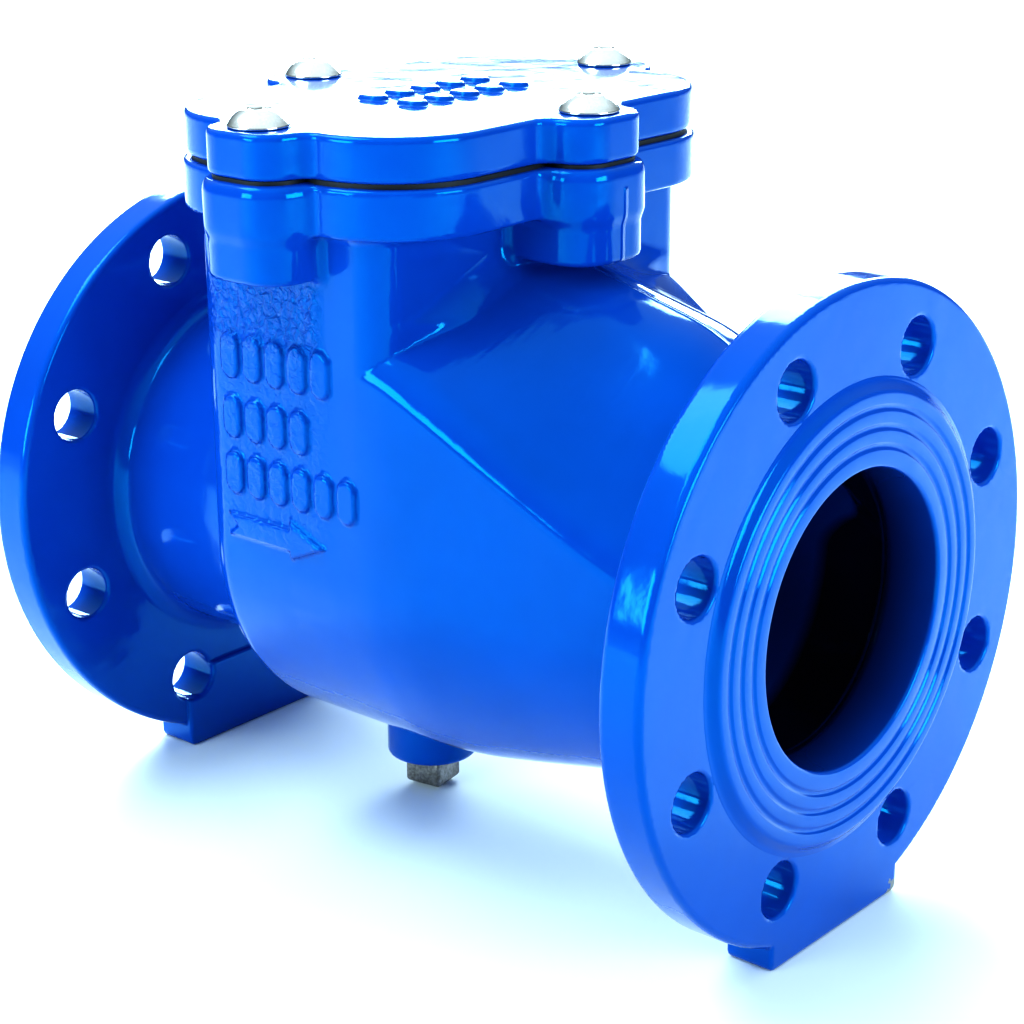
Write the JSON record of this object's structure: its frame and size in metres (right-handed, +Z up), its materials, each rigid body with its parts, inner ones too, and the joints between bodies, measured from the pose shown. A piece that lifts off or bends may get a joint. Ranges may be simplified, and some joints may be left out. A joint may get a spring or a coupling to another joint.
{
  "type": "flanged swing check valve",
  "caption": "Flanged swing check valve: blue coated iron body with a bolted cover, and a rubber-faced flap that swings on a pin inside.",
  "frame": {"origin": "on the floor under the valve, halfway between the two flange faces and in the valve's plane of symmetry", "axes": "+X along the pipe in the direction of flow, +Z up towards the cover, +Y to the left when looking downstream"},
  "size_m": [0.3, 0.22, 0.2698],
  "materials": {
    "body_paint": "glossy fusion-bonded epoxy on ductile iron",
    "cover_paint": "glossy fusion-bonded epoxy on ductile iron",
    "gasket_rubber": "matt cut sheet",
    "bolt_steel": "bright stainless steel",
    "bronze": "machined bronze",
    "bracket_iron": "cast, dark primer",
    "pin_steel": "turned stainless steel",
    "flap_rubber": "moulded, satin",
    "plug_steel": "plain forged steel, dull"
  },
  "bodies": {
    "valve_body": {"body": "body_paint", "cover": "cover_paint", "cover_gasket": "gasket_rubber", "cover_bolts": "bolt_steel", "body_seat_ring": "bronze", "hanger_bracket": "bracket_iron", "hanger_screws": "bolt_steel", "hanger_spring_washers": "bolt_steel", "hinge_pin": "pin_steel", "hinge_pin_washer": "pin_steel", "hinge_pin_cotter": "pin_steel", "thrust_washers": "bronze", "drain_plug": "plug_steel"},
    "flap_arm": {"hinge_arm": "bracket_iron", "arm_bushes": "bronze"},
    "flap": {"disc": "bracket_iron", "disc_rubber": "flap_rubber", "disc_washer": "pin_steel", "disc_nut": "pin_steel", "disc_cotter": "pin_steel"}
  },
  "joints": [
    {"name": "flap_swing", "type": "hinge", "parent": "valve_body", "child": "flap_arm", "pos_m": [-0.0405, 0, 0.188], "axis": [0, -1, 0], "range_deg": [0, 60]},
    {"name": "flap_turn", "type": "hinge", "parent": "flap_arm", "child": "flap", "pos_m": [-0.03, 0, 0.112], "axis": [1, 0, 0], "continuous": true}
  ]
}
